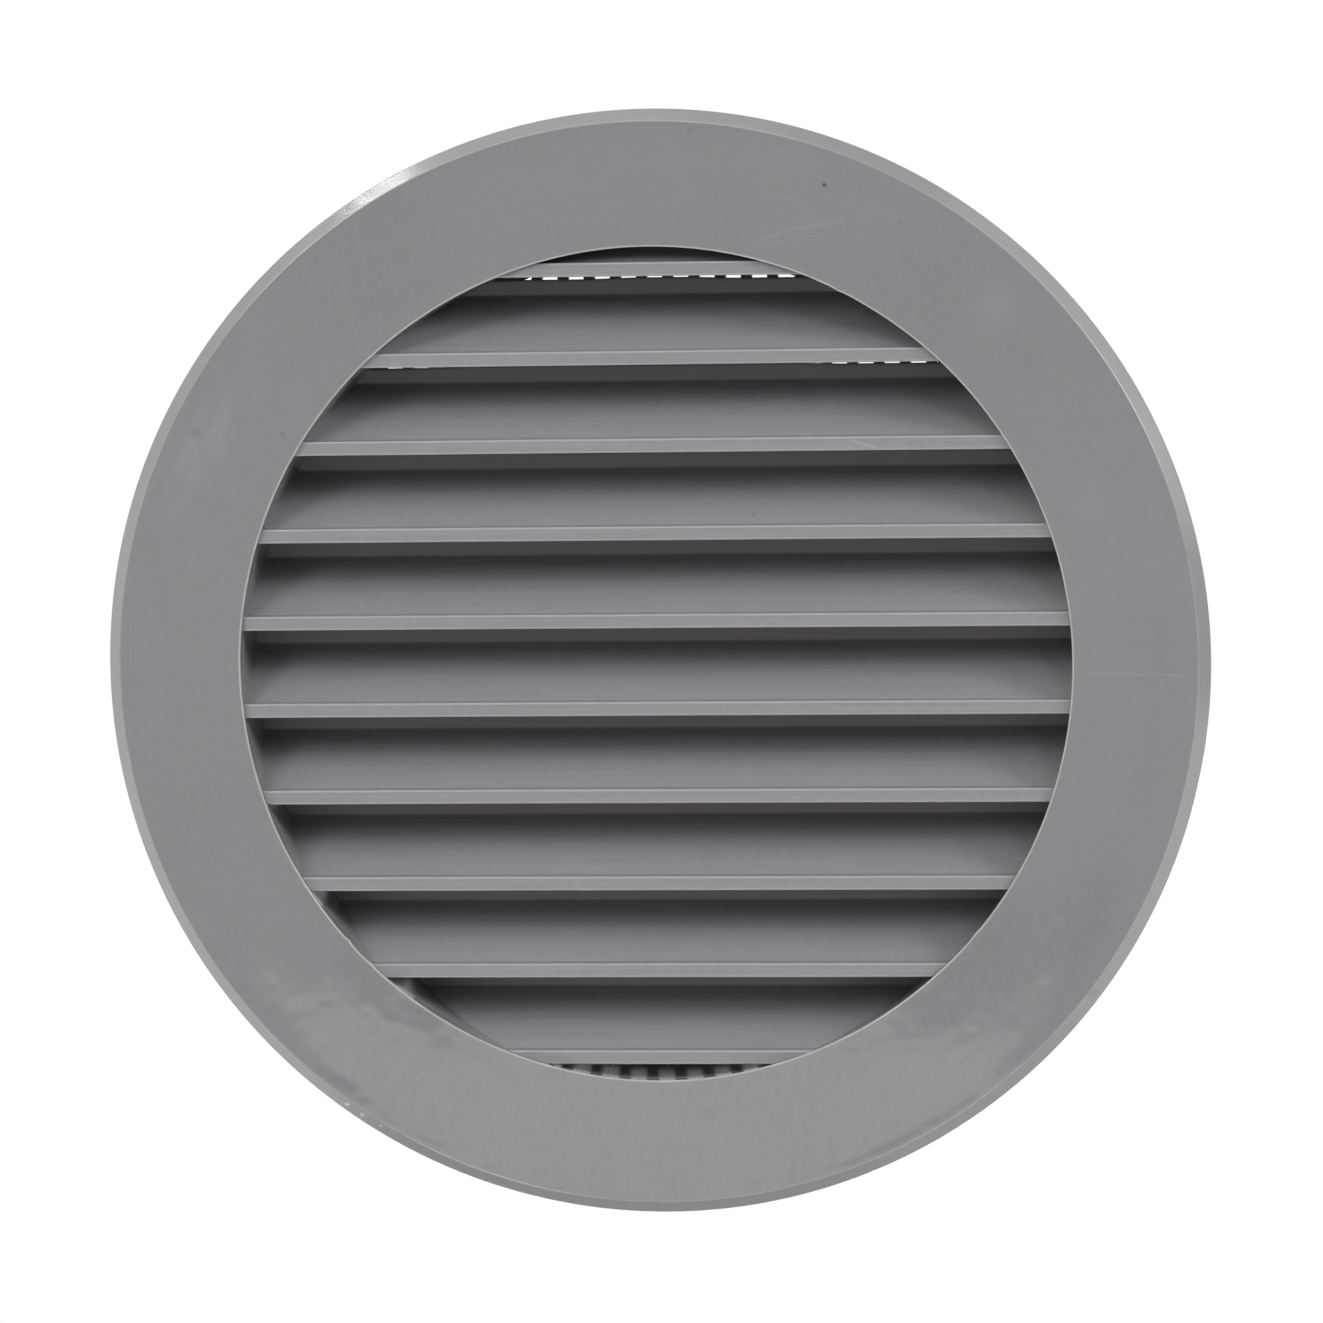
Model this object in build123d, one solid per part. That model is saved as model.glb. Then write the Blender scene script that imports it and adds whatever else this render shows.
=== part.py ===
from build123d import *
import math
import os

# Round louvred vent grille for a 125 mm duct: face flange, spigot with a centring collar,
# ten fixed blades, pull-out insect screen in its ring, foam gasket and three wire spring clips.
# Axis of the duct is Y. The face looks towards -Y, +Z is up, +X is to the right of someone
# looking at the face. The origin is on the axis, in the plane where the flange meets the wall.
# All lengths in millimetres.

# ---- driving dimensions -------------------------------------------------------------
FLANGE_R = 75.0          # outside radius of the face flange
RIM_LAND = 1.0           # straight edge of the rim, from the wall plane forwards
BEVEL_W, BEVEL_D = 1.6, 1.5
OPEN_R = 56.5            # clear opening and front bore
FACE_Y = -4.0            # the face is proudest at the opening edge
STEP_Y = -1.6            # floor of the recess in the back of the flange
RECESS_R = 71.5

BORE_R = 57.0            # bore behind the screen ledge
SPIGOT_R = 58.6          # outside of the spigot tube
COLLAR_R = 62.1          # centring collar that fits the bore of a 125 mm duct
COLLAR_L = 8.0           # its full-size part ends here, a lead-in cone follows
COLLAR_END = 11.0
SPIGOT_END = 36.0
LEDGE_Y = 11.4           # the screen stops against this ledge

BLADES = 10
BLADE_PITCH = 11.88
LIP_H = 1.9
LIP_Y = -3.2             # lip face, 0.8 behind the opening edge
LIP_T = 1.2
LIP_STEP = 0.28          # the lip stands this far above the web
WEB_T = 1.62             # web thickness measured vertically
FOOT_Y = 9.7             # front face of the rear upstand
FOOT_RISE = 7.2          # web rise from lip top to the upstand's foot
UPSTAND_T = 1.5
UPSTAND_H = 2.2
GROOVE_D = 0.55          # the blade ends sit this deep in the bore
JOINT_GAP = 0.05

SLOT_PITCH = 3.6
SLOT_W = 2.1
SLOT_PHASE = -0.85       # one slot is centred on this X
SCREEN_Y0, SCREEN_Y1 = 11.7, 13.3
SCREEN_R = 56.7
SCREEN_RING_R, SCREEN_RING_IN = 56.8, 55.0
SCREEN_RING_END = 17.0
TAB_END, TAB_IN = 21.0, 53.6         # finger tabs on the ring
SLOT_FIELD_R = 55.0
CROSS_RIB = 1.7          # cross ribs lie behind the blade upstands

GASKET_IN, GASKET_OUT = 63.4, 71.2
GASKET_PROUD = 0.5

CLIP_ANGLES = (90.0, 210.0, 330.0)   # from +X towards +Z
PIN_X, PIN_Y = 59.9, 16.5            # pin centre: radius from the duct axis, and Y
PIN_R, PIN_HALF = 1.0, 7.6
WIRE_R = 0.5
COIL_MEAN = 1.55
REST_ANGLE = 30.0                    # the free arm stands this far out from the axis
ARM_L = 19.0


# ---- helpers ------------------------------------------------------------------------
def rounded_wire(corners):
    """Closed wire in the XY plane through (x, y, radius) corners."""
    n = len(corners)
    pts = []
    for i in range(n):
        x, y, r = corners[i]
        px, py = corners[i - 1][:2]
        qx, qy = corners[(i + 1) % n][:2]
        if not r:
            pts.append((None, (x, y), (x, y)))
            continue
        a = Vector(px - x, py - y, 0).normalized()
        b = Vector(qx - x, qy - y, 0).normalized()
        half = math.radians(a.get_angle(b)) / 2
        t = r / math.tan(half)
        s, e = Vector(x, y, 0) + a * t, Vector(x, y, 0) + b * t
        mid = Vector(x, y, 0) + (a + b).normalized() * (r / math.sin(half) - r)
        pts.append((mid, s, e))
    edges = []
    for i in range(n):
        mid, s, e = pts[i]
        if mid is not None:
            edges.append(ThreePointArc(s, mid, e))
        nxt = pts[(i + 1) % n][1]
        edges.append(Line(e, nxt))
    return Wire([x.edge() if hasattr(x, "edge") else x for x in edges])


def ring(corners):
    """Solid of revolution about Y from (radius, y, corner radius) corners."""
    face = Face(rounded_wire(corners))
    return revolve(face, axis=Axis.Y, revolution_arc=360)


def y_cylinder(r, y0, y1):
    return Pos(0, y0, 0) * extrude(Face(Wire([Edge.make_circle(r, Plane.XZ)])), amount=y1 - y0, dir=(0, 1, 0))


def yz_prism(corners, half_x):
    """Prism along X from (y, z, corner radius) corners."""
    face = Face(rounded_wire(corners))
    face = Plane.YZ * face
    return Pos(-half_x, 0, 0) * extrude(face, amount=2 * half_x, dir=(1, 0, 0))


def only(shape):
    s = shape.solids()
    return s[0] if len(s) == 1 else Compound(children=list(s))


def write(shape, node):
    export_step(shape, "parts/" + node + ".step")


# ---- blades -------------------------------------------------------------------------
TAN = (FOOT_RISE + LIP_STEP) / (FOOT_Y - (LIP_Y + LIP_T))


def blade_profile(top, grow=0.0):
    """Section in (y, z): vertical lip, web rising to the rear, vertical upstand."""
    yb = LIP_Y + LIP_T
    g = grow
    sg = g * math.sqrt(1 + TAN * TAN)
    web_top = lambda y: top - LIP_STEP + (y - yb) * TAN + sg
    web_low = lambda y: top - LIP_H + (y - yb) * TAN - sg
    rear = FOOT_Y + UPSTAND_T + g
    foot = FOOT_Y - g
    crest = top + FOOT_RISE + UPSTAND_H + g
    r = 0.0 if grow else 0.25
    return [
        (LIP_Y - g, top - LIP_H - g, r),
        (yb - g * (math.sqrt(1 + TAN * TAN) - 1) / TAN if g else yb, top - LIP_H - g, 0),
        (rear, web_low(rear), 0.0 if grow else 0.6),
        (rear, crest, 0.0 if grow else 0.3),
        (foot, crest, 0.0 if grow else 0.3),
        (foot, web_top(foot), 0.0 if grow else 0.4),
        (yb + g, web_top(yb + g), 0),
        (yb + g, top + g, 0.0 if grow else 0.15),
        (LIP_Y - g, top + g, r),
    ]


def blade(index):
    centre = (BLADES - 1) / 2 * BLADE_PITCH - index * BLADE_PITCH
    top = centre + LIP_H / 2
    body = yz_prism(blade_profile(top), 60.0) & y_cylinder(OPEN_R + GROOVE_D, -6, 12)
    tool = yz_prism(blade_profile(top, JOINT_GAP), 60.0) & y_cylinder(OPEN_R + GROOVE_D + JOINT_GAP, -6, 12)
    return body, tool


# ---- face flange --------------------------------------------------------------------
def face_flange():
    return ring([
        (OPEN_R, FACE_Y, 0.3),
        (FLANGE_R - BEVEL_W, FACE_Y + 1.5, 0.35),
        (FLANGE_R, FACE_Y + 1.5 + BEVEL_D, 0.3),
        (FLANGE_R, 0.0, 0.3),
        (RECESS_R, 0.0, 0.0),
        (RECESS_R, STEP_Y, 0.3),
        (OPEN_R, STEP_Y, 0.0),
    ])


# ---- spigot -------------------------------------------------------------------------
def clip_window():
    """Slot through the tube for the coils, and two ears with the pin hole, at angle 0."""
    window = Pos(57.8, PIN_Y, 0) * Box(4.0, 6.2, 11.0)
    ears = []
    for side in (-1, 1):
        z = side * 6.4
        block = Pos((57.6 + 61.3) / 2, PIN_Y, z) * Box(61.3 - 57.6, 5.0, 1.6)
        rounded = [e for e in block.edges().filter_by(Axis.Z) if e.center().X > 60]
        ears.append(fillet(rounded, 1.4))
    hole = Pos(PIN_X, PIN_Y, 0) * Cylinder(PIN_R + 0.02, 20.0)
    return window, ears, hole


def spigot():
    body = ring([
        (OPEN_R, STEP_Y + JOINT_GAP, 0.0),
        (SPIGOT_R, STEP_Y + JOINT_GAP, 0.0),
        (SPIGOT_R, SPIGOT_END, 0.6),
        (BORE_R, SPIGOT_END, 0.3),
        (BORE_R, LEDGE_Y, 0.0),
        (OPEN_R, LEDGE_Y, 0.0),
    ])
    window, ears, hole = clip_window()
    inside = y_cylinder(BORE_R + 0.3, LEDGE_Y, SPIGOT_END)
    for a in CLIP_ANGLES:
        body = body - window.rotate(Axis.Y, -a)
        for ear in ears:
            body = body + (ear.rotate(Axis.Y, -a) - inside)
        body = body - hole.rotate(Axis.Y, -a)
    return body


def centring_collar():
    """Ring bonded round the spigot, with a lead-in cone at its rear."""
    return ring([
        (SPIGOT_R + JOINT_GAP, STEP_Y + JOINT_GAP, 0.0),
        (COLLAR_R, STEP_Y + JOINT_GAP, 0.0),
        (COLLAR_R, COLLAR_L, 0.6),
        (SPIGOT_R + 0.6, COLLAR_END, 0.3),
        (SPIGOT_R + JOINT_GAP, COLLAR_END, 0.0),
    ])


# ---- insect screen ------------------------------------------------------------------
def insect_screen():
    """Flat slotted disc; vertical slots, cross ribs behind the upstands."""
    ribs = []
    for i in range(-1, BLADES + 1):
        centre = (BLADES - 1) / 2 * BLADE_PITCH - i * BLADE_PITCH
        ribs.append(centre + LIP_H / 2 + FOOT_RISE + UPSTAND_H / 2)
    ribs.sort()
    holes = []
    count = int(SLOT_FIELD_R / SLOT_PITCH) + 2
    for k in range(-count, count + 1):
        x = SLOT_PHASE + k * SLOT_PITCH
        far = abs(x) + SLOT_W / 2
        if far >= SLOT_FIELD_R - 1:
            continue
        lim = math.sqrt(SLOT_FIELD_R ** 2 - far ** 2)
        for low, high in zip(ribs[:-1], ribs[1:]):
            a, b = max(low + CROSS_RIB / 2, -lim), min(high - CROSS_RIB / 2, lim)
            if b - a < 1.2:
                continue
            w = SLOT_W / 2
            pts = [(x - w, a), (x + w, a), (x + w, b), (x - w, b)]
            holes.append(Wire.make_polygon([Vector(px, pz, 0) for px, pz in pts], close=True))
    outer = Wire([Edge.make_circle(SCREEN_R)])
    face = Face(outer, holes)
    disc = extrude(face, amount=SCREEN_Y1 - SCREEN_Y0, dir=(0, 0, 1))
    return Plane(origin=(0, SCREEN_Y1, 0), x_dir=(1, 0, 0), z_dir=(0, -1, 0)) * disc


def screen_ring():
    """Ring that holds the disc against the ledge, with two finger tabs hooked inwards."""
    body = ring([
        (SCREEN_RING_IN, SCREEN_Y1 + JOINT_GAP, 0.0),
        (SCREEN_RING_R, SCREEN_Y1 + JOINT_GAP, 0.0),
        (SCREEN_RING_R, SCREEN_RING_END, 0.3),
        (SCREEN_RING_IN, SCREEN_RING_END, 0.3),
    ])
    hook = ring([
        (SCREEN_RING_IN + 0.4, SCREEN_RING_END - 1.5, 0.0),
        (SCREEN_RING_R - 0.1, SCREEN_RING_END - 1.5, 0.0),
        (SCREEN_RING_R - 0.1, TAB_END, 0.4),
        (TAB_IN, TAB_END, 0.5),
        (TAB_IN, TAB_END - 1.4, 0.5),
        (SCREEN_RING_IN + 0.4, TAB_END - 1.4, 0.4),
    ])
    for side in (-1, 1):
        body = body + (hook & Pos(side * 55.0, TAB_END - 3.0, 0) * Box(10.0, 12.0, 10.0))
    return body


# ---- gasket -------------------------------------------------------------------------
def wall_gasket():
    return ring([
        (GASKET_IN, STEP_Y + 0.02, 0.0),
        (GASKET_OUT, STEP_Y + 0.02, 0.0),
        (GASKET_OUT, GASKET_PROUD, 0.4),
        (GASKET_IN, GASKET_PROUD, 0.4),
    ])


# ---- spring clips -------------------------------------------------------------------
def spring_pin():
    pin = Pos(PIN_X, PIN_Y, 0) * Cylinder(PIN_R, 2 * PIN_HALF)
    return chamfer(pin.edges(), 0.25)


def loop(z):
    return Pos(PIN_X, PIN_Y, z) * Torus(COIL_MEAN, WIRE_R)


def wire_run(a, b):
    a, b = Vector(*a), Vector(*b)
    return extrude(Face(Wire([Edge.make_circle(WIRE_R, Plane(origin=a, z_dir=(b - a)))])), amount=(b - a).length, dir=(b - a))


def spring_coil():
    """Two still coils of the double torsion spring, each with a leg bearing on the spigot."""
    out = []
    phi = math.radians(22)
    for side in (-1, 1):
        section = Pos(COIL_MEAN, side * 3.9) * Circle(WIRE_R) + Pos(COIL_MEAN, side * 4.7) * Circle(WIRE_R)
        turns = Pos(PIN_X, PIN_Y, 0) * Rot(90, 0, 0) * revolve(section, axis=Axis.Y, revolution_arc=360)
        touch = (PIN_X - COIL_MEAN * math.cos(phi), PIN_Y + COIL_MEAN * math.sin(phi))
        start = (touch[0] - 0.3 * math.sin(phi), touch[1] - 0.3 * math.cos(phi), side * 4.7)
        end = (touch[0] + 4.6 * math.sin(phi), touch[1] + 4.6 * math.cos(phi), side * 4.7)
        out.append(turns + wire_run(start, end))
    return out


def spring_arm():
    """The moving part: an eye on each side of the pin, joined by a U of the same wire."""
    th = math.radians(REST_ANGLE)
    d = Vector(math.sin(th), math.cos(th), 0)
    n = Vector(math.cos(th), -math.sin(th), 0)
    root = Vector(PIN_X, PIN_Y, 0) + n * COIL_MEAN
    tip = root + d * ARM_L
    th2 = math.radians(REST_ANGLE - 50)
    hook = tip + Vector(math.sin(th2), math.cos(th2), 0) * 2.6
    z = 2.65
    zz = Vector(0, 0, z)
    path = FilletPolyline(root - zz, tip - zz, hook - zz, hook + zz, tip + zz, root + zz, radius=1.1)
    wire = path.wire() if hasattr(path, "wire") else path
    section = Plane(origin=root - zz, z_dir=d) * Circle(WIRE_R)
    leg = sweep(section, path=wire)
    return leg + loop(-z) + loop(z)


# ---- build --------------------------------------------------------------------------
os.makedirs("parts", exist_ok=True)

flange, tube = face_flange(), spigot()
for i in range(BLADES):
    body, tool = blade(i)
    write(only(body), "blade_%02d" % (i + 1))
    flange = flange - tool
    tube = tube - tool
write(only(flange), "face_flange")
write(only(tube), "spigot")
write(only(centring_collar()), "centring_collar")
write(only(insect_screen()), "insect_screen")
write(only(screen_ring()), "screen_ring")
write(only(wall_gasket()), "wall_gasket")

pins = []
for i, a in enumerate(CLIP_ANGLES):
    pins.append(only(spring_pin().rotate(Axis.Y, -a)))
    coils = [only(c.rotate(Axis.Y, -a)) for c in spring_coil()]
    write(Compound(children=coils), "spring_coil_%d" % (i + 1))
    write(only(spring_arm().rotate(Axis.Y, -a)), "spring_arm_%d" % (i + 1))
write(Compound(children=pins), "spring_pins")
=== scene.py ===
import math
import random

import bmesh
import bpy
from mathutils import Matrix, Vector, noise


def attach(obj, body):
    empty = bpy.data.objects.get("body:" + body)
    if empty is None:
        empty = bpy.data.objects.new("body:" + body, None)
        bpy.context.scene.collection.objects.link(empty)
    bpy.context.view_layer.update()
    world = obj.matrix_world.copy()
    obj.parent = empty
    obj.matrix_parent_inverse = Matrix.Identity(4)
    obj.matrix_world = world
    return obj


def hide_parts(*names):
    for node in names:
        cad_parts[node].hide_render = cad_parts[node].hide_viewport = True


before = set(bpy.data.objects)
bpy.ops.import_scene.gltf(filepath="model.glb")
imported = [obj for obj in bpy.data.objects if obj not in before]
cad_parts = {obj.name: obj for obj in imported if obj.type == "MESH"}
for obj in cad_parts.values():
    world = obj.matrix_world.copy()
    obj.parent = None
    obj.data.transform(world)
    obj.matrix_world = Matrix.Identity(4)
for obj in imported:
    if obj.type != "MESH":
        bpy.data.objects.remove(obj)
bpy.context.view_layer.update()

MM = 0.001
random.seed(7)

# ---- sizes of the visible shapes, in millimetres, the same as the CAD part -----------
FLANGE_R, OPEN_R, FACE_Y, STEP_Y, RECESS_R = 75.0, 56.5, -4.0, -1.6, 71.5
BORE_R, SPIGOT_R, COLLAR_R, COLLAR_L, SPIGOT_END, LEDGE_Y = 57.0, 58.6, 62.1, 8.0, 36.0, 11.4
PITCH, LIP_H, LIP_Y, LIP_T, LIP_STEP, WEB_T = 11.88, 1.9, -3.2, 1.2, 0.28, 1.62
FOOT_Y, FOOT_RISE, UP_T, UP_H = 9.7, 7.2, 1.5, 2.2
SLOT_PITCH, SLOT_W, SLOT_PHASE = 3.6, 2.1, -0.85
SCR_Y0, SCR_Y1, SCR_R, SLOT_R = 11.7, 13.3, 56.7, 55.0
RING_Y0, RING_Y1, RING_R, RING_IN = 13.35, 17.0, 56.8, 55.0
CLIPS = (90.0, 210.0, 330.0)
PIN_X, PIN_Y, PIN_R, PIN_HALF = 59.9, 16.5, 1.0, 7.6
WIRE_R, COIL_R, REST_DEG, ARM_L = 0.5, 1.55, 30.0, 19.0


# ---- mesh helpers --------------------------------------------------------------------
def rounded(corners, steps=5):
    """Closed outline with each (x, y, radius) corner turned into an arc. Returns [(x, y, on_arc)]."""
    out = []
    n = len(corners)
    for i in range(n):
        x, y, r = corners[i]
        p = Vector((x, y))
        if not r:
            out.append((x, y, 0.0))
            continue
        a = (Vector(corners[i - 1][:2]) - p).normalized()
        b = (Vector(corners[(i + 1) % n][:2]) - p).normalized()
        half = a.angle(b) / 2
        t = r / math.tan(half)
        c = p + (a + b).normalized() * (r / math.sin(half))
        s, e = p + a * t - c, p + b * t - c
        turn = s.angle_signed(e)
        k = max(2, steps)
        for j in range(k + 1):
            ang = -turn * j / k
            v = Vector((s.x * math.cos(ang) - s.y * math.sin(ang), s.x * math.sin(ang) + s.y * math.cos(ang)))
            out.append((c.x + v.x, c.y + v.y, 1.0))
    return out


def link(me, name):
    o = bpy.data.objects.new(name, me)
    bpy.context.scene.collection.objects.link(o)
    return o


def from_bm(bm, name, angle=32.0):
    bmesh.ops.recalc_face_normals(bm, faces=bm.faces)
    me = bpy.data.meshes.new(name)
    bm.to_mesh(me)
    bm.free()
    for p in me.polygons:
        p.use_smooth = True
    me.set_sharp_from_angle(angle=math.radians(angle))
    return link(me, name)


def lathe_bm(profile, seg, wobble=None):
    """Revolves a closed (radius, y, edge) outline about Y."""
    bm = bmesh.new()
    lay = bm.verts.layers.float.new("edge")
    rings = []
    for (r, y, e) in profile:
        ring = []
        for k in range(seg):
            th = 2 * math.pi * k / seg
            rr, yy = (r, y) if wobble is None else wobble(r, y, th)
            v = bm.verts.new((rr * math.cos(th) * MM, yy * MM, rr * math.sin(th) * MM))
            v[lay] = e
            ring.append(v)
        rings.append(ring)
    n = len(rings)
    for i in range(n):
        a, b = rings[i], rings[(i + 1) % n]
        for k in range(seg):
            m = (k + 1) % seg
            bm.faces.new((a[k], a[m], b[m], b[k]))
    return bm


def split_long(profile, most, guard=0.12):
    """Adds points on long straight runs of an outline, the first and last close to the corners."""
    out = []
    n = len(profile)
    for i in range(n):
        x, y, e = profile[i]
        u, v, f = profile[(i + 1) % n]
        d = math.hypot(u - x, v - y)
        k = max(1, int(math.ceil(d / most)))
        stops = [j / k for j in range(1, k)]
        if d > 4 * guard:
            stops += [guard / d, 1 - guard / d]
        out.append((x, y, e))
        for t in sorted(set(stops)):
            out.append((x + (u - x) * t, y + (v - y) * t, 0.0))
    return out


def boolean(target, cutter, how):
    m = target.modifiers.new("cut", "BOOLEAN")
    m.object, m.operation, m.solver = cutter, how, "EXACT"
    apply_mods(target)
    bpy.data.objects.remove(cutter)


def apply_mods(o):
    dg = bpy.context.evaluated_depsgraph_get()
    me = bpy.data.meshes.new_from_object(o.evaluated_get(dg), depsgraph=dg)
    o.modifiers.clear()
    old = o.data
    o.data = me
    bpy.data.meshes.remove(old)


def resmooth(o, angle=32.0):
    for p in o.data.polygons:
        p.use_smooth = True
    o.data.set_sharp_from_angle(angle=math.radians(angle))


def turn_in(angle_deg):
    """Matrix from a clip's own axes (radial, along the duct, tangential) to the part's."""
    a = math.radians(angle_deg)
    return Matrix(((math.cos(a), 0, -math.sin(a), 0), (0, 1, 0, 0), (math.sin(a), 0, math.cos(a), 0), (0, 0, 0, 1)))


def tube_bm(bm, pts, r, sides=14):
    """Round wire through pts (mm) with rounded ends."""
    pts = [Vector(p) for p in pts]
    n = len(pts)
    tang = []
    for i in range(n):
        tang.append((pts[min(i + 1, n - 1)] - pts[max(i - 1, 0)]).normalized())
    up = Vector((0, 0, 1)) if abs(tang[0].z) < 0.9 else Vector((1, 0, 0))
    u = tang[0].cross(up).normalized()
    rings = []

    def ring(c, u, w, rr):
        return [bm.verts.new((c + (u * math.cos(2 * math.pi * k / sides) + w * math.sin(2 * math.pi * k / sides)) * rr) * MM) for k in range(sides)]

    frames = []
    for i in range(n):
        if i:
            axis = tang[i - 1].cross(tang[i])
            if axis.length > 1e-9:
                u = Matrix.Rotation(tang[i - 1].angle(tang[i]), 3, axis.normalized()) @ u
        u = (u - tang[i] * u.dot(tang[i])).normalized()
        frames.append((pts[i], u.copy(), tang[i].cross(u).normalized()))
    c, u0, w0 = frames[0]
    for a in (80, 55, 28):
        rings.append(ring(c - tang[0] * (0.35 * r * math.sin(math.radians(a))), u0, w0, r * (0.62 + 0.38 * math.cos(math.radians(a)))))
    for c, u1, w1 in frames:
        rings.append(ring(c, u1, w1, r))
    c, u1, w1 = frames[-1]
    for a in (28, 55, 80):
        rings.append(ring(c + tang[-1] * (0.35 * r * math.sin(math.radians(a))), u1, w1, r * (0.62 + 0.38 * math.cos(math.radians(a)))))
    for a, b in zip(rings[:-1], rings[1:]):
        for k in range(sides):
            m = (k + 1) % sides
            bm.faces.new((a[k], a[m], b[m], b[k]))
    bm.faces.new(rings[0][::-1])
    bm.faces.new(rings[-1])


def soft_box(bm, lo, hi, r, seg=3, matrix=None):
    """Box with all edges rounded, added to bm. Corners in mm."""
    part = bmesh.new()
    bmesh.ops.create_cube(part, size=1.0)
    for v in part.verts:
        v.co = Vector([(lo[i] + hi[i]) / 2 + v.co[i] * (hi[i] - lo[i]) for i in range(3)])
    bmesh.ops.bevel(part, geom=part.edges[:], offset=r, segments=seg, profile=0.5, affect="EDGES", clamp_overlap=True)
    m = Matrix.Scale(MM, 4)
    bmesh.ops.transform(part, matrix=(matrix @ m) if matrix is not None else m, verts=part.verts)
    me = bpy.data.meshes.new("tmp")
    part.to_mesh(me)
    part.free()
    bm.from_mesh(me)
    bpy.data.meshes.remove(me)


# ---- materials -----------------------------------------------------------------------
class Mat:
    """A small node builder round one Principled shader."""

    def __init__(self, name):
        self.m = bpy.data.materials.new(name)
        self.m.use_nodes = True
        self.t = self.m.node_tree
        self.t.nodes.clear()
        self.out = self.add("ShaderNodeOutputMaterial")
        self.b = self.add("ShaderNodeBsdfPrincipled")
        self.wire(self.b.outputs[0], self.out.inputs["Surface"])
        self.coord = self.add("ShaderNodeTexCoord").outputs["Object"]

    def add(self, kind, **props):
        n = self.t.nodes.new(kind)
        for k, v in props.items():
            setattr(n, k, v)
        return n

    def wire(self, a, b):
        self.t.links.new(a, b)

    def math(self, op, a, b=None, c=None, clamp=False):
        n = self.add("ShaderNodeMath", operation=op, use_clamp=clamp)
        for i, v in enumerate((a, b, c)):
            if v is None:
                continue
            if isinstance(v, (int, float)):
                n.inputs[i].default_value = v
            else:
                self.wire(v, n.inputs[i])
        return n.outputs[0]

    def xyz(self):
        s = self.add("ShaderNodeSeparateXYZ")
        self.wire(self.coord, s.inputs[0])
        return s.outputs

    def vec(self, x, y, z):
        c = self.add("ShaderNodeCombineXYZ")
        for i, v in enumerate((x, y, z)):
            if isinstance(v, (int, float)):
                c.inputs[i].default_value = v
            else:
                self.wire(v, c.inputs[i])
        return c.outputs[0]

    def scaled(self, sx, sy, sz, source=None):
        n = self.add("ShaderNodeMapping")
        n.inputs["Scale"].default_value = (sx, sy, sz)
        self.wire(source or self.coord, n.inputs["Vector"])
        return n.outputs[0]

    def noise(self, vector, scale, detail=3.0, rough=0.55, distort=0.0):
        n = self.add("ShaderNodeTexNoise")
        n.inputs["Scale"].default_value = scale
        n.inputs["Detail"].default_value = detail
        n.inputs["Roughness"].default_value = rough
        n.inputs["Distortion"].default_value = distort
        self.wire(vector, n.inputs["Vector"])
        return n.outputs["Fac"]

    def ramp(self, value, stops):
        n = self.add("ShaderNodeValToRGB")
        r = n.color_ramp
        while len(r.elements) < len(stops):
            r.elements.new(0.5)
        for e, (p, c) in zip(r.elements, stops):
            e.position = p
            e.color = (c, c, c, 1) if isinstance(c, (int, float)) else (*c, 1)
        self.wire(value, n.inputs["Fac"])
        return n.outputs["Color"]

    def maprange(self, value, a, b, c, d, smooth=False):
        n = self.add("ShaderNodeMapRange", clamp=True)
        if smooth:
            n.interpolation_type = "SMOOTHSTEP"
        for i, v in zip((1, 2, 3, 4), (a, b, c, d)):
            n.inputs[i].default_value = v
        self.wire(value, n.inputs[0])
        return n.outputs[0]

    def mix(self, fac, a, b):
        n = self.add("ShaderNodeMix", data_type="RGBA")
        for sock, v in ((n.inputs[0], fac), (n.inputs[6], a), (n.inputs[7], b)):
            if isinstance(v, (int, float)):
                sock.default_value = v
            elif isinstance(v, tuple):
                sock.default_value = (*v, 1)
            else:
                self.wire(v, sock)
        return n.outputs[2]

    def bump(self, height, strength, distance, normal=None):
        n = self.add("ShaderNodeBump")
        n.inputs["Strength"].default_value = strength
        n.inputs["Distance"].default_value = distance
        self.wire(height, n.inputs["Height"])
        if normal is not None:
            self.wire(normal, n.inputs["Normal"])
        return n.outputs["Normal"]

    def attr(self, name):
        n = self.add("ShaderNodeAttribute", attribute_name=name)
        return n.outputs["Fac"]

    def vmath(self, op, a, b=None):
        n = self.add("ShaderNodeVectorMath", operation=op)
        for i, v in enumerate((a, b)):
            if v is None:
                continue
            if isinstance(v, tuple):
                n.inputs[i].default_value = v
            else:
                self.wire(v, n.inputs[i])
        return n.outputs["Value"] if op in ("LENGTH", "DOT_PRODUCT") else n.outputs["Vector"]

    def spot(self, x, z, rx, rz=None, core=0.35, ragged=0.0):
        """1 inside a soft oval of the face centred on x, z (mm), 0 outside."""
        rz = rz or rx
        d = self.vmath("SUBTRACT", self.coord, (x * MM, 0.0, z * MM))
        d = self.vmath("MULTIPLY", d, (1 / (rx * MM), 0.0, 1 / (rz * MM)))
        d = self.vmath("LENGTH", d)
        if ragged:
            d = self.math("ADD", d, self.math("MULTIPLY", self.math("SUBTRACT", self.noise(self.coord, 900.0, 3.0), 0.5), ragged))
        return self.maprange(d, core, 1.0, 1.0, 0.0, True)

    def line(self, p, q, width):
        """1 on a thin straight scratch from p to q (x, z in mm)."""
        dx, dz = q[0] - p[0], q[1] - p[1]
        length = math.hypot(dx, dz)
        d = self.vmath("SUBTRACT", self.coord, (p[0] * MM, 0.0, p[1] * MM))
        along = self.vmath("DOT_PRODUCT", d, (dx / length ** 2 / MM, 0.0, dz / length ** 2 / MM))
        across = self.math("ABSOLUTE", self.vmath("DOT_PRODUCT", d, (-dz / length, 0.0, dx / length)))
        f = self.maprange(across, width * 0.3 * MM, width * MM, 1.0, 0.0, True)
        mid = self.math("ABSOLUTE", self.math("SUBTRACT", along, 0.5))
        return self.math("MULTIPLY", f, self.maprange(mid, 0.3, 0.5, 1.0, 0.0, True))


GREY = (0.198, 0.203, 0.208)
LIGHT = (0.33, 0.335, 0.335)


def tone(c, k):
    return tuple(min(1.0, v * k) for v in c)


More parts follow.
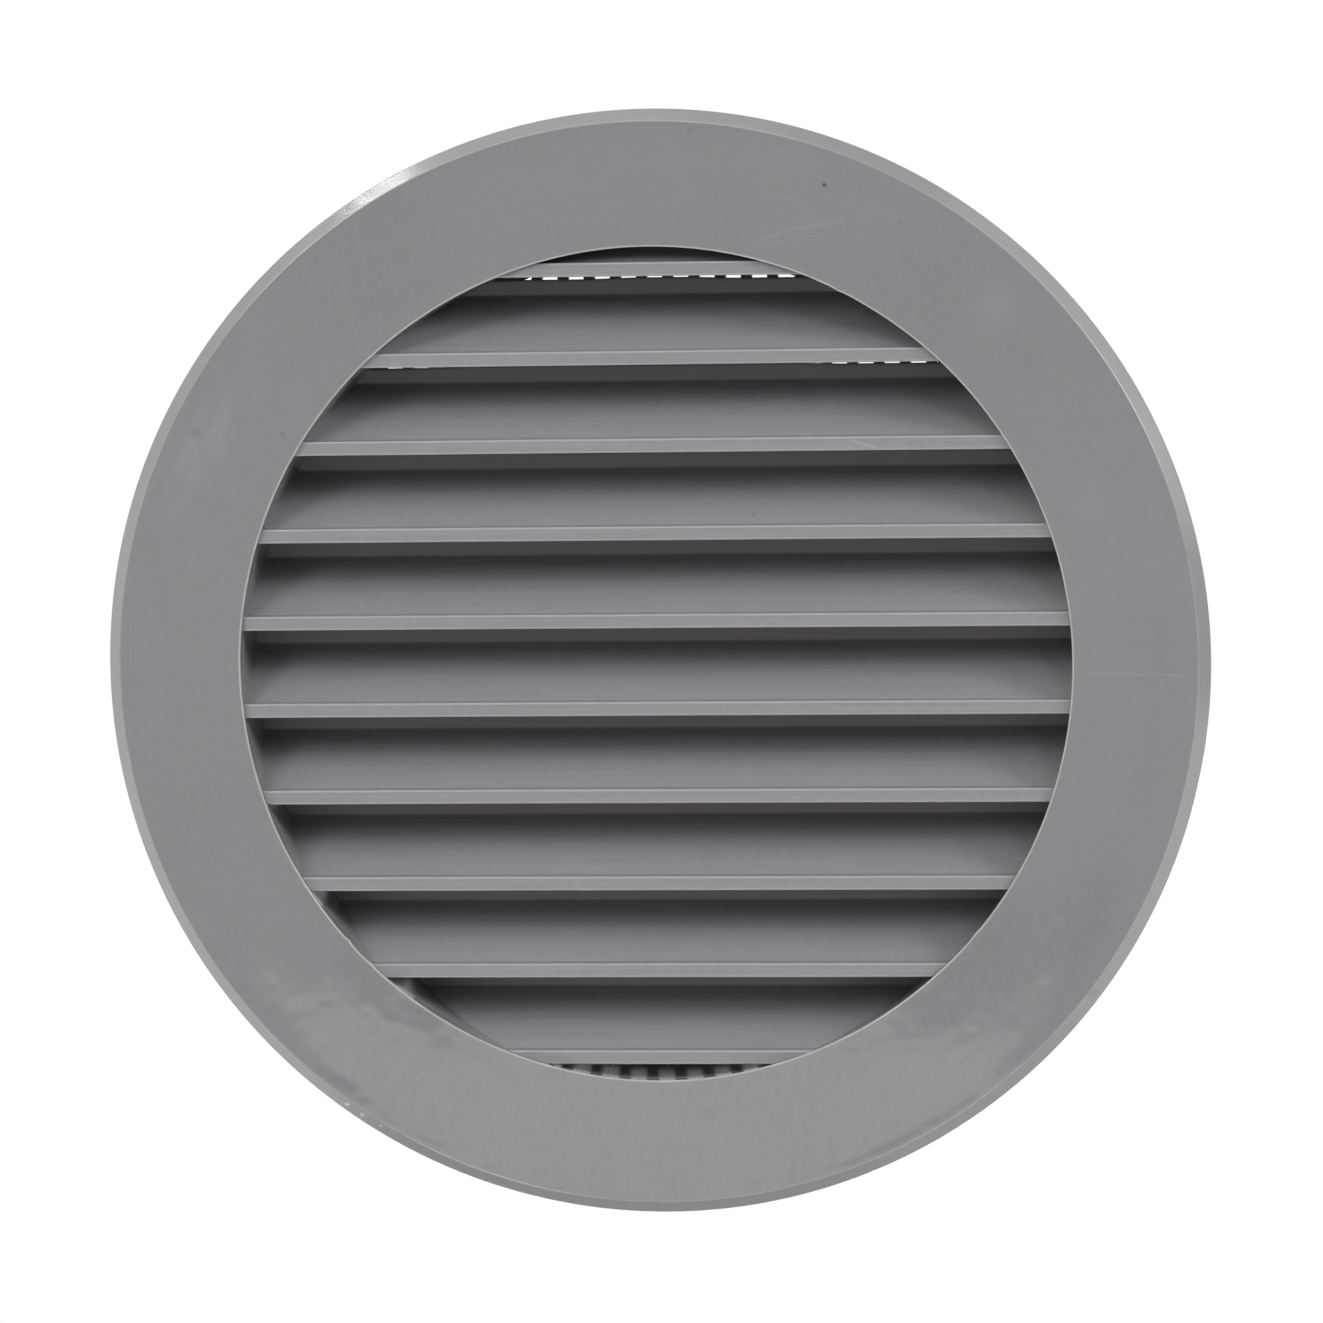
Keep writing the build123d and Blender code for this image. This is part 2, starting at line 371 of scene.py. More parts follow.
def tone_mix(m, colour, k):
    """Scales a colour socket by k."""
    return m.vmath("MULTIPLY", colour, (k, k, k))


def pvc(name, grain, base=GREY, edge_wear_and_sheen_gain=1.35, gloss=0.24, marks=(), wave=0.12, grit=1.0):
    """Satin grey PVC. grain is the direction of its fine lines: round (concentric), along (blades) or draw (spigot)."""
    m = Mat(name)
    x, y, z = m.xyz()
    rad = m.math("SQRT", m.math("ADD", m.math("MULTIPLY", x, x), m.math("MULTIPLY", z, z)))
    ang = m.math("ARCTAN2", z, x)
    if grain == "round":
        v = m.vec(m.math("MULTIPLY", rad, 2600.0), m.math("MULTIPLY", ang, 5.0), m.math("MULTIPLY", y, 300.0))
    elif grain == "along":
        v = m.vec(m.math("MULTIPLY", x, 22.0), m.math("MULTIPLY", y, 1900.0), m.math("MULTIPLY", z, 1900.0))
    else:
        v = m.vec(m.math("MULTIPLY", ang, 60.0), m.math("MULTIPLY", y, 25.0), m.math("MULTIPLY", rad, 300.0))
    lines = m.noise(v, 1.0, 4.0, 0.6)
    cloud = m.noise(m.coord, 34.0, 4.0, 0.55)
    fine = m.noise(m.coord, 5200.0, 2.0, 0.5)
    blot = m.noise(m.coord, 120.0, 3.0, 0.5)
    a = m.mix(m.ramp(cloud, [(0.3, 0.0), (0.7, 1.0)]), tone(base, 0.965), tone(base, 1.035))
    deep = {"along": 0.84, "round": 0.955}.get(grain, 0.94)
    a = m.mix(m.maprange(lines, 0.38, 0.66, 0.0, 0.6), a, tone(base, deep))
    if grain == "along":
        broad = m.noise(m.vec(m.math("MULTIPLY", x, 9.0), m.math("MULTIPLY", y, 520.0), m.math("MULTIPLY", z, 520.0)), 1.0, 3.0, 0.6)
        a = m.mix(m.maprange(broad, 0.42, 0.62, 0.0, 0.5), a, tone(base, 0.93))
    a = m.mix(m.maprange(blot, 0.62, 0.78, 0.0, 0.25), a, tone(base, 1.06))
    dapple = m.noise(m.coord, 1100.0, 2.0, 0.6)
    a = m.mix(m.maprange(dapple, 0.35, 0.65, 0.0, 1.0), tone_mix(m, a, 0.978), tone_mix(m, a, 1.022))
    # rare dark specks in the moulding
    vor = m.add("ShaderNodeTexVoronoi", feature="F1")
    vor.inputs["Scale"].default_value = 95.0
    m.wire(m.coord, vor.inputs["Vector"])
    pick = m.noise(vor.outputs["Color"], 3.0, 0.0, 0.5)
    speck = m.math("MULTIPLY", m.math("LESS_THAN", vor.outputs["Distance"], 0.022), m.math("GREATER_THAN", pick, 0.62))
    a = m.mix(m.math("MULTIPLY", speck, 0.3), a, tone(base, 0.45))
    if grain == "round":
        # the turned bevel is a little paler than the moulded face
        a = m.mix(m.maprange(rad, (FLANGE_R - 1.75) * MM, (FLANGE_R - 1.45) * MM, 0.0, 0.75), a, tone(base, 1.165))
    # edges painted paler: partly wear, partly a painted highlight along the rounded edges
    edge = m.attr("edge")
    wear = m.noise(m.coord, 420.0, 3.0, 0.6)
    for kind, spec, gain, amount in marks:
        f = m.spot(*spec) if kind == "spot" else m.line(*spec)
        a = m.mix(m.math("MULTIPLY", f, amount), a, tone(base, gain))
    # painted highlight and wear: the rounded edges get a paler tone, broken up by the wear noise
    e = m.math("MULTIPLY", edge, m.maprange(wear, 0.3, 0.7, 0.7, 1.0), clamp=True)
    edge_wear_and_sheen = tone(base, edge_wear_and_sheen_gain)
    a = m.mix(e, a, (edge_wear_and_sheen[0] * 1.025, edge_wear_and_sheen[1], edge_wear_and_sheen[2] * 0.97))
    if grain == "along":
        # painted shade: the rear upstand's front face is darkened and warmed, standing in for the shade and warm bounce
        # light deep in the pocket, and the strip behind the lip gets a painted shadow line
        a = m.mix(m.math("MULTIPLY", m.attr("upstand_warm_shade"), 1.0, clamp=True), a, (base[0] * 0.92, base[1] * 0.83, base[2] * 0.79))
        # painted shadow: a dark line in the groove just behind the lip
        a = m.mix(m.math("MULTIPLY", m.attr("lip_groove_shadow"), 0.5, clamp=True), a, tone(base, 0.45))
    m.wire(a, m.b.inputs["Base Color"])
    rough = m.math("ADD", m.maprange(cloud, 0.3, 0.7, gloss - 0.02, gloss + 0.03), m.maprange(lines, 0.3, 0.7, -0.01, 0.02))
    if grain == "round":
        # the turned bevel and rim are duller than the moulded face
        rough = m.math("MAXIMUM", rough, m.maprange(rad, (FLANGE_R - 1.75) * MM, (FLANGE_R - 1.45) * MM, 0.0, 0.21))
    m.wire(rough, m.b.inputs["Roughness"])
    m.b.inputs["Specular IOR Level"].default_value = 0.5
    m.b.inputs["IOR"].default_value = 1.52
    n = m.bump(lines, 0.10 * grit, 0.00004)
    n = m.bump(fine, 0.08 * grit, 0.00002, n)
    n = m.bump(cloud, wave, 0.0008, n)
    m.wire(n, m.b.inputs["Normal"])
    return m.m


def foam():
    m = Mat("foam_seal")
    vor = m.add("ShaderNodeTexVoronoi", feature="F1")
    vor.inputs["Scale"].default_value = 2600.0
    m.wire(m.coord, vor.inputs["Vector"])
    big = m.noise(m.coord, 160.0, 3.0, 0.6)
    a = m.mix(m.maprange(vor.outputs["Distance"], 0.1, 0.6, 0.0, 1.0), (0.016, 0.016, 0.017), (0.045, 0.045, 0.046))
    a = m.mix(m.maprange(big, 0.4, 0.7, 0.0, 0.5), a, (0.03, 0.03, 0.032))
    m.wire(a, m.b.inputs["Base Color"])
    m.wire(m.maprange(big, 0.3, 0.7, 0.82, 0.95), m.b.inputs["Roughness"])
    n = m.bump(vor.outputs["Distance"], 0.6, 0.0002)
    m.wire(n, m.b.inputs["Normal"])
    return m.m


def steel():
    m = Mat("spring_steel")
    draw = m.noise(m.scaled(900, 900, 900), 1.0, 3.0, 0.6)
    tint = m.noise(m.coord, 220.0, 3.0, 0.6)
    a = m.mix(m.maprange(tint, 0.35, 0.7, 0.0, 1.0), (0.52, 0.515, 0.50), (0.63, 0.625, 0.615))
    m.wire(a, m.b.inputs["Base Color"])
    m.b.inputs["Metallic"].default_value = 1.0
    m.wire(m.maprange(draw, 0.3, 0.7, 0.22, 0.38), m.b.inputs["Roughness"])
    n = m.bump(draw, 0.15, 0.00003)
    m.wire(n, m.b.inputs["Normal"])
    return m.m


def paint(o, mat):
    o.data.materials.clear()
    o.data.materials.append(mat)


# handling marks on the face: x, z, radii in mm, then how much lighter or darker, and how strongly
FACE_MARKS = [
    ("spot", (23.89, 64.46, 0.42, 0.42, 0.3), 0.35, 0.9), ("spot", (-62.2, 31.9, 1.2, 1.1, 0.2), 0.75, 0.7),
    ("spot", (-50.1, 31.75, 0.55, 0.5, 0.2), 0.75, 0.7), ("spot", (5.95, 72.06, 0.5, 0.4, 0.2), 0.75, 0.6),
    ("spot", (6.5, -61.3, 1.5, 1.3, 0.2), 0.88, 0.7), ("spot", (12.3, -71.0, 1.6, 1.1, 0.2), 0.88, 0.6),
    ("spot", (54.2, -35.2, 1.4, 1.2, 0.5), 1.10, 0.5), ("spot", (58.7, -44.9, 1.2, 1.0, 0.2), 0.88, 0.5),
    ("spot", (46.6, 47.7, 4.2, 5.6, 0.3, 0.5), 1.10, 0.55), ("spot", (59.3, 21.2, 4.0, 4.5, 0.2, 0.6), 1.06, 0.5),
    ("line", ((56.9, -1.3), (74.2, -1.9), 0.30), 1.14, 0.6),
    ("line", ((13.8, 56.9), (20.9, 59.0), 0.35), 1.16, 0.6), ("line", ((19.6, 58.4), (27.2, 59.9), 0.45), 1.18, 0.6),
    ("line", ((15.5, 56.6), (24.5, 58.0), 0.20), 1.12, 0.5), ("line", ((-66.0, 18.5), (-57.5, 20.3), 0.16), 1.14, 0.5),
    ("spot", (-43.33, -60.12, 0.60, 0.36, 0.3), 2.3, 0.85), ("spot", (-41.30, -61.55, 0.48, 0.40, 0.3), 2.2, 0.85),
    ("spot", (-38.70, -63.10, 0.42, 0.33, 0.3), 1.9, 0.7),
]
M_FLANGE = pvc("grey_pvc_flange", "round", base=tone(GREY, 0.915), edge_wear_and_sheen_gain=1.85, gloss=0.085, marks=FACE_MARKS, wave=0.5, grit=0.35)
M_SPIGOT = pvc("grey_pvc_spigot", "draw")
M_BLADE = pvc("grey_pvc_blade", "along", base=(0.2160, 0.2183, 0.2282), edge_wear_and_sheen_gain=1.25, gloss=0.30,
              marks=[("line", ((26.5, 30.3), (31.2, 28.9), 0.16), 1.25, 0.8), ("spot", (13.5, 20.0, 0.25, 0.25, 0.2), 0.4, 0.8)])
M_SCREEN = pvc("grey_pvc_screen", "draw", base=tone(GREY, 0.95), edge_wear_and_sheen_gain=1.15)
M_FOAM, M_STEEL = foam(), steel()


# ---- face flange ---------------------------------------------------------------------
# small trimming burrs on the opening edge: angle, width in degrees, size in mm (minus is inwards)
BURRS = [(221.4, 0.6, -0.14), (226.0, 0.5, -0.11), (319.6, 0.7, -0.12), (63.1, 0.6, -0.10), (223.6, 0.6, 0.05), (133.0, 1.2, 0.05)]


def flange_wobble(r, y, th):
    """Moulding is never quite flat or round: a few hundredths of a millimetre of it."""
    p = Vector((math.cos(th) * 1.7, math.sin(th) * 1.7, r * 0.05))
    k = 0.05 * noise.noise(p)
    dr = 0.0
    if abs(r - OPEN_R) < 0.6:
        dr = 0.05 * noise.noise(p * 2.3)
        for at, width, size in BURRS:
            u = ((math.degrees(th) - at + 180) % 360 - 180) / width
            dr += size * math.exp(-u * u)
    # held inside the nominal size
    return min(r + dr, FLANGE_R - 0.015), max(y + k * (0.0 if y > -0.6 else 1.0), FACE_Y + 0.035)


# slope of the moulded face in degrees, by radius: a little steeper in the middle of the ring
SLOPES = [(56.5, 4.85), (61.0, 4.9), (65.0, 5.45), (68.5, 6.0), (70.5, 5.3), (72.0, 4.2), (73.4, 3.6)]


def face_offset(r):
    """How far the face at radius r stands behind the opening edge, in mm."""
    total, out = 0.0, None
    steps = 400
    lo, hi = SLOPES[0][0], SLOPES[-1][0]
    for k in range(steps):
        q = lo + (hi - lo) * (k + 0.5) / steps
        for (a, s), (b, t) in zip(SLOPES[:-1], SLOPES[1:]):
            if a <= q <= b:
                deg = s + (t - s) * (q - a) / (b - a)
        total += math.tan(math.radians(deg)) * (hi - lo) / steps
        if out is None and q >= r:
            out = total
    return (total if out is None else out), total


def shape_face(r, y):
    """Moves a point of the straight cone face onto the moulded one."""
    if r <= OPEN_R + 0.2 or r >= FLANGE_R - 1.8 or y > FACE_Y + 1.6:
        return y
    here, total = face_offset(r)
    return FACE_Y + here * 1.5 / total


prof = rounded([
    (OPEN_R, FACE_Y, 0.16), (FLANGE_R - 1.6, FACE_Y + 1.5, 0.22), (FLANGE_R, FACE_Y + 3.0, 0.3),
    (FLANGE_R, 0.0, 0.25), (RECESS_R, 0.0, 0.15), (RECESS_R, STEP_Y, 0.3), (OPEN_R, STEP_Y, 0.06)], 5)
# edge weights: where the paler edge tone goes, part wear and part painted highlight
prof = [(r, y, e if (r < OPEN_R + 0.5 and y < -3.0) else (0.35 * e if y < -2.2 and r > 70 else 0.0)) for r, y, e in prof]
prof = [(r, shape_face(r, y) if y < -2.3 else y, e) for r, y, e in split_long(prof, 0.8)]
bm = lathe_bm(prof, 720, flange_wobble)
flange = from_bm(bm, "flange_moulding", 40)
paint(flange, M_FLANGE)
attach(flange, "grille"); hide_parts("face_flange")


# ---- spigot --------------------------------------------------------------------------
prof = rounded([
    (OPEN_R, STEP_Y + 0.05, 0.05), (SPIGOT_R, STEP_Y + 0.05, 0.1), (SPIGOT_R, SPIGOT_END, 0.6), (BORE_R, SPIGOT_END, 0.3),
    (BORE_R, LEDGE_Y, 0.1), (OPEN_R, LEDGE_Y, 0.1)], 4)
# the front corner sits against the flange and gets no paler edge, neither wear nor painted highlight
prof = [(r, y, 0.0 if r < OPEN_R + 0.6 and y < STEP_Y + 0.6 else e) for r, y, e in prof]
spigot = from_bm(lathe_bm(split_long(prof, 3.0), 480), "spigot_moulding", 32)
for a in CLIPS:
    bm = bmesh.new()
    soft_box(bm, (54.0, PIN_Y - 3.1, -5.5), (63.0, PIN_Y + 3.1, 5.5), 0.6, 3, turn_in(a))
    boolean(spigot, from_bm(bm, "window"), "DIFFERENCE")
resmooth(spigot, 32)
bm = bmesh.new()
bm.from_mesh(spigot.data)
for a in CLIPS:
    for side in (-1, 1):
        soft_box(bm, (57.3, PIN_Y - 2.5, side * 6.4 - 0.8), (61.3, PIN_Y + 2.5, side * 6.4 + 0.8), 0.35, 3, turn_in(a))
me = bpy.data.meshes.new("spigot_moulding")
bm.to_mesh(me); bm.free()
spigot.data = me
resmooth(spigot, 32)
paint(spigot, M_SPIGOT)
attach(spigot, "grille"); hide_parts("spigot")


# ---- centring collar: the thick band behind the flange that fills the duct's bore -----
def collar_wobble(r, y, th):
    p = Vector((math.cos(th) * 2.1, math.sin(th) * 2.1, y * 0.1))
    return (r - 0.03 * abs(noise.noise(p)) if r > COLLAR_R - 1.5 else r), y


prof = rounded([
    (SPIGOT_R + 0.05, STEP_Y + 0.05, 0.1), (COLLAR_R, STEP_Y + 0.05, 0.2), (COLLAR_R, COLLAR_L, 0.6),
    (SPIGOT_R + 0.6, COLLAR_L + 3.0, 0.3), (SPIGOT_R + 0.05, COLLAR_L + 3.0, 0.1)], 5)
collar = from_bm(lathe_bm(split_long([(r, y, e * (0.7 if y > 5 else 0.0)) for r, y, e in prof], 1.2), 480, collar_wobble), "centring_band", 40)
paint(collar, M_SPIGOT)
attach(collar, "grille"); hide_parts("centring_collar")


# ---- blades --------------------------------------------------------------------------
TAN = (FOOT_RISE + LIP_STEP) / (FOOT_Y - (LIP_Y + LIP_T))
# small bows and tilts of each blade, in mm: tilt over the half length, bow at the middle
BLADE_SET = [(0.02, 0.03), (0.10, -0.02), (0.06, 0.03), (0.02, 0.04), (0.00, 0.03),
             (0.02, 0.02), (-0.01, 0.02), (-0.02, 0.02), (0.01, 0.02), (0.00, 0.01)]


def blade_outline(top):
    yb = LIP_Y + LIP_T
    web_top = lambda q: top - LIP_STEP + (q - yb) * TAN
    web_low = lambda q: top - LIP_H + (q - yb) * TAN
    rear, crest = FOOT_Y + UP_T, top + FOOT_RISE + UP_H
    pts = rounded([
        (LIP_Y, top - LIP_H, 0.2), (yb, top - LIP_H, 0), (rear, web_low(rear), 0.6), (rear, crest, 0.3),
        (FOOT_Y, crest, 0.3), (FOOT_Y, web_top(FOOT_Y), 0.35), (yb + 1.0, web_top(yb + 1.0), 0), (yb + 0.55, web_top(yb + 0.55), 0), (yb + 0.3, web_top(yb + 0.3), 0.05), (yb + 0.16, web_top(yb + 0.16) - 0.12, 0.04),
        (yb, web_top(yb) - 0.05, 0.04), (yb, top, 0.1), (LIP_Y, top, 0.2)], 4)
    out = []
    for q, z, e in pts:
        on_lip = q < LIP_Y + 0.3
        out.append((q, z, e if on_lip else 0.25 * e if z > crest - 0.4 else 0.0))
    return out


def ease(t):
    t = min(1.0, max(0.0, t))
    return t * t * (3 - 2 * t)


def crest_change(i, x):
    """How far a blade's rear upstand stands above (or below) its nominal height at x, in mm."""
    if i == 1:
        return 0.04 - 0.16 * ease((-3 - x) / 8) - 0.24 * ease((x - 3) / 9)
    if i == 2:
        return -0.205 * ease((x - 17) / 9) - 0.16 * ease((-26 - x) / 8)
    return 0.0


def make_blade(i):
    centre = 4.5 * PITCH - i * PITCH
    top = centre + LIP_H / 2
    tilt, bow = BLADE_SET[i]
    outline = split_long(blade_outline(top), 1.5)
    bm = bmesh.new()
    lay = bm.verts.layers.float.new("edge")
    upstand_warm_shade = bm.verts.layers.float.new("upstand_warm_shade")
    lip_groove_shadow = bm.verts.layers.float.new("lip_groove_shadow")
    crest, yb = top + FOOT_RISE + UP_H, LIP_Y + LIP_T
    stations = 72
    rings = []
    for s in range(stations + 1):
        x = -59.0 + 118.0 * s / stations
        u = x / 57.0
        dz = tilt * u + bow * (1 - u * u) + 0.012 * noise.noise(Vector((x * 0.08, i * 3.1, 0)))
        ring = []
        for q, z, e in outline:
            up = crest_change(i, x) * ease((z - top - FOOT_RISE - 0.6) / 1.2) if q > FOOT_Y - 0.2 else 0.0
            v = bm.verts.new((x * MM, (q + 0.015 * noise.noise(Vector((x * 0.06, z * 0.4, i * 5.7)))) * MM, (z + dz + up) * MM))
            v[lay] = e
            # painted shade with a warm bounce tint on the upstand's front face
            v[upstand_warm_shade] = 1.0 if FOOT_Y - 0.15 < q < FOOT_Y + 0.4 and z > top + FOOT_RISE + 0.3 else 0.0
            # painted shadow line on the slope just behind the lip top
            v[lip_groove_shadow] = 1.0 if yb - 0.05 < q < yb + 0.6 and z < top + 0.3 and z > top - 0.7 else 0.0
            ring.append(v)
        rings.append(ring)
    n = len(outline)
    for a, b in zip(rings[:-1], rings[1:]):
        for k in range(n):
            bm.faces.new((a[k], a[(k + 1) % n], b[(k + 1) % n], b[k]))
    bm.faces.new(rings[0]); bm.faces.new(rings[-1][::-1])
    o = from_bm(bm, "louvre_blade_%02d" % (i + 1))
    ring = [(OPEN_R + 0.12, -5.0, 0), (OPEN_R + 0.12, 12.0, 0)]
    c = bmesh.new()
    seg = 360
    lo = [c.verts.new((ring[0][0] * math.cos(2 * math.pi * k / seg) * MM, -5.0 * MM, ring[0][0] * math.sin(2 * math.pi * k / seg) * MM)) for k in range(seg)]
    hi = [c.verts.new((v.co.x, 12.0 * MM, v.co.z)) for v in lo]
    for k in range(seg):
        c.faces.new((lo[k], lo[(k + 1) % seg], hi[(k + 1) % seg], hi[k]))
    c.faces.new(lo[::-1]); c.faces.new(hi)
    boolean(o, from_bm(c, "bore"), "INTERSECT")
    resmooth(o, 30)
    paint(o, M_BLADE)
    node = "blade_%02d" % (i + 1)
    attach(o, "grille"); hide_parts(node)
    return o


blades = [make_blade(i) for i in range(10)]


# ---- insect screen -------------------------------------------------------------------
def bar(bm, a, b, w, y0, y1, r, vertical):
    """A rounded bar of the moulded grid from a to b (mm) with its centre line there."""
    if vertical:
        soft_box(bm, (a[0] - w / 2, y0, a[1]), (b[0] + w / 2, y1, b[1]), r, 2)
    else:
        soft_box(bm, (a[0], y0, a[1] - w / 2), (b[0], y1, b[1] + w / 2), r, 2)


bm = bmesh.new()
R_IN = SLOT_R + 0.4
for k in range(-17, 18):
    x = SLOT_PHASE + (k + 0.5) * SLOT_PITCH
    w = SLOT_PITCH - SLOT_W
    far = abs(x) + w / 2
    if far > R_IN - 0.6:
        continue
    h = math.sqrt(R_IN ** 2 - far ** 2)
    bar(bm, (x, -h), (x, h), w, SCR_Y0, SCR_Y1, 0.22, True)
for i in range(-1, 11):
    z = 4.5 * PITCH - i * PITCH + LIP_H / 2 + FOOT_RISE + UP_H / 2
    far = abs(z) + 0.85
    if far > R_IN - 0.6:
        continue
    h = math.sqrt(R_IN ** 2 - far ** 2)
    bar(bm, (-h, z), (h, z), 1.7, SCR_Y0 + 0.1, SCR_Y1 - 0.1, 0.25, False)
band = lathe_bm(split_long(rounded([(SLOT_R, SCR_Y0, 0.15), (SCR_R, SCR_Y0, 0.2), (SCR_R, SCR_Y1, 0.2), (SLOT_R, SCR_Y1, 0.15)], 4), 1.0), 320)
me = bpy.data.meshes.new("tmp"); band.to_mesh(me); band.free(); bm.from_mesh(me); bpy.data.meshes.remove(me)
screen = from_bm(bm, "insect_screen_grid", 35)
paint(screen, M_SCREEN)
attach(screen, "screen"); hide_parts("insect_screen")


# ---- screen ring: holds the screen in the spigot, with two hooked finger tabs ---------
def hooked_tab(bm, side):
    """A tab standing off the ring at +X or -X, hooked inwards at its end, with grip ribs under the hook."""
    outline = rounded([(55.4, 15.6, 0), (56.65, 15.6, 0), (56.65, 20.95, 0.4), (53.65, 20.95, 0.5), (53.65, 19.65, 0.5), (55.4, 19.65, 0.4)], 5)
    layers = []
    for z, shrink in ((-4.95, 0.28), (-4.82, 0.08), (-4.6, 0.0), (4.6, 0.0), (4.82, 0.08), (4.95, 0.28)):
        ring = []
        for q, y, e in outline:
            cq, cy = 55.6, 18.6
            d = Vector((q - cq, y - cy))
            f = max(0.0, 1 - shrink / max(d.length, 0.3))
            ring.append(bm.verts.new((side * (cq + d.x * f) * MM, (cy + d.y * f) * MM, z * MM)))
        layers.append(ring)
    n = len(outline)
    for a, b in zip(layers[:-1], layers[1:]):
        for k in range(n):
            bm.faces.new((a[k], a[(k + 1) % n], b[(k + 1) % n], b[k]))
    bm.faces.new(layers[0]); bm.faces.new(layers[-1][::-1])
    for j in range(3):
        z = -2.6 + j * 2.6
        soft_box(bm, (side * 54.6 - 0.55, 20.2, z - 0.3), (side * 54.6 + 0.55, 20.98, z + 0.3), 0.2, 2)


bm = lathe_bm(split_long(rounded([(RING_IN, RING_Y0, 0.15), (RING_R, RING_Y0, 0.25), (RING_R, RING_Y1, 0.3), (RING_IN, RING_Y1, 0.3)], 4), 1.2), 360)
for side in (-1, 1):
    hooked_tab(bm, side)
ring = from_bm(bm, "screen_holding_ring", 35)
paint(ring, M_SCREEN)
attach(ring, "screen"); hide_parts("screen_ring")


# ---- foam gasket ---------------------------------------------------------------------
def foam_wobble(r, y, th):
    p = Vector((math.cos(th) * 9, math.sin(th) * 9, r * 0.3))
    k = noise.noise(p) + 0.5 * noise.noise(p * 3.1)
    return r + 0.06 * k, y - (0.06 * abs(k) if y > 0 else 0)


prof = rounded([(63.45, STEP_Y + 0.05, 0.1), (71.15, STEP_Y + 0.05, 0.1), (71.15, 0.5, 0.4), (63.45, 0.5, 0.4)], 4)
gasket = from_bm(lathe_bm(split_long(prof, 0.8), 480, foam_wobble), "foam_gasket", 60)
paint(gasket, M_FOAM)
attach(gasket, "grille"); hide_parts("wall_gasket")


# ---- spring clips --------------------------------------------------------------------
def helix(z0, z1, a0, a1, n):
    out = []
    for k in range(n + 1):
        t = k / n
        a = math.radians(a0 + (a1 - a0) * t)
        out.append(Vector((PIN_X + COIL_R * math.cos(a), PIN_Y + COIL_R * math.sin(a), z0 + (z1 - z0) * t)))
    return out


def bend(pts, r, n=8):
    """Rounds the inner corners of a polyline."""
    out = [pts[0]]
    for a, p, b in zip(pts[:-2], pts[1:-1], pts[2:]):
        u, v = (a - p).normalized(), (b - p).normalized()
        half = u.angle(v) / 2
        t = r / math.tan(half)
        c = p + (u + v).normalized() * (r / math.sin(half))
        s, e = p + u * t - c, p + v * t - c
        full = s.angle(e)
        for k in range(n + 1):
            f = k / n
            out.append(c + (s * math.sin((1 - f) * full) + e * math.sin(f * full)) / math.sin(full))
    out.append(pts[-1])
    return out


def straight(a, b, step=1.0):
    k = max(1, int((b - a).length / step))
    return [a + (b - a) * (j / k) for j in range(k)]


for i, a in enumerate(CLIPS):
    turn = turn_in(a)
    node = str(i + 1)
    # pin
    bm = bmesh.new()
    prof = rounded([(0.0, -PIN_HALF, 0), (PIN_R, -PIN_HALF, 0.3), (PIN_R, PIN_HALF, 0.3), (0.0, PIN_HALF, 0)], 4)
    seg = 32
    rings = [[bm.verts.new((PIN_X + r * math.cos(2 * math.pi * k / seg), PIN_Y + r * math.sin(2 * math.pi * k / seg), z)) for k in range(seg)]
             for r, z, e in prof if r > 0]
    for p, q in zip(rings[:-1], rings[1:]):
        for k in range(seg):
            bm.faces.new((p[k], p[(k + 1) % seg], q[(k + 1) % seg], q[k]))
    bm.faces.new(rings[0][::-1]); bm.faces.new(rings[-1])
    bmesh.ops.transform(bm, matrix=turn @ Matrix.Scale(MM, 4), verts=bm.verts)
    pin = from_bm(bm, "clip_pin_" + node, 35)
    paint(pin, M_STEEL)
    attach(pin, "grille"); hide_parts("spring_pins")
    # still coils with their anchor legs
    bm = bmesh.new()
    phi = math.radians(22)
    for side in (-1, 1):
        a1 = 180 - 22
        coil = helix(side * 3.70, side * 5.02, a1 + 360 * 1.45, a1, 60)
        leg_dir = Vector((math.sin(phi), math.cos(phi), 0))
        start = coil[-1]
        leg = [start + leg_dir * (4.6 * j / 5) for j in range(1, 6)]
        tube_bm(bm, coil + leg, WIRE_R * 0.985, 14)
    bmesh.ops.transform(bm, matrix=turn, verts=bm.verts)
    coil = from_bm(bm, "spring_turns_" + node, 60)
    paint(coil, M_STEEL)
    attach(coil, "grille"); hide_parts("spring_coil_" + node)
    # the free arm: an eye, a leg, the bent-in tip, and back
    th = math.radians(REST_DEG)
    d = Vector((math.sin(th), math.cos(th), 0))
    nrm = Vector((math.cos(th), -math.sin(th), 0))
    root = Vector((PIN_X, PIN_Y, 0)) + nrm * COIL_R
    tip = root + d * ARM_L
    th2 = math.radians(REST_DEG - 50)
    hook = tip + Vector((math.sin(th2), math.cos(th2), 0)) * 2.6
    z = Vector((0, 0, 2.65))
    corner = bend([root - z, tip - z, hook - z, hook + z, tip + z, root + z], 1.1)
    body = []
    for p, q in zip(corner[:-1], corner[1:]):
        body += straight(p, q, 1.2)
    body.append(corner[-1])
    a_end = -REST_DEG
    eye = helix(-2.80, -2.65, a_end - 318, a_end, 34)
    eye2 = [Vector((p.x, p.y, -p.z)) for p in eye][::-1]
    bm = bmesh.new()
    tube_bm(bm, eye[:-1] + body + eye2[1:], WIRE_R * 0.985, 14)
    bmesh.ops.transform(bm, matrix=turn, verts=bm.verts)
    arm = from_bm(bm, "spring_leg_" + node, 60)
    paint(arm, M_STEEL)
    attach(arm, "spring_arm_" + node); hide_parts("spring_arm_" + node)


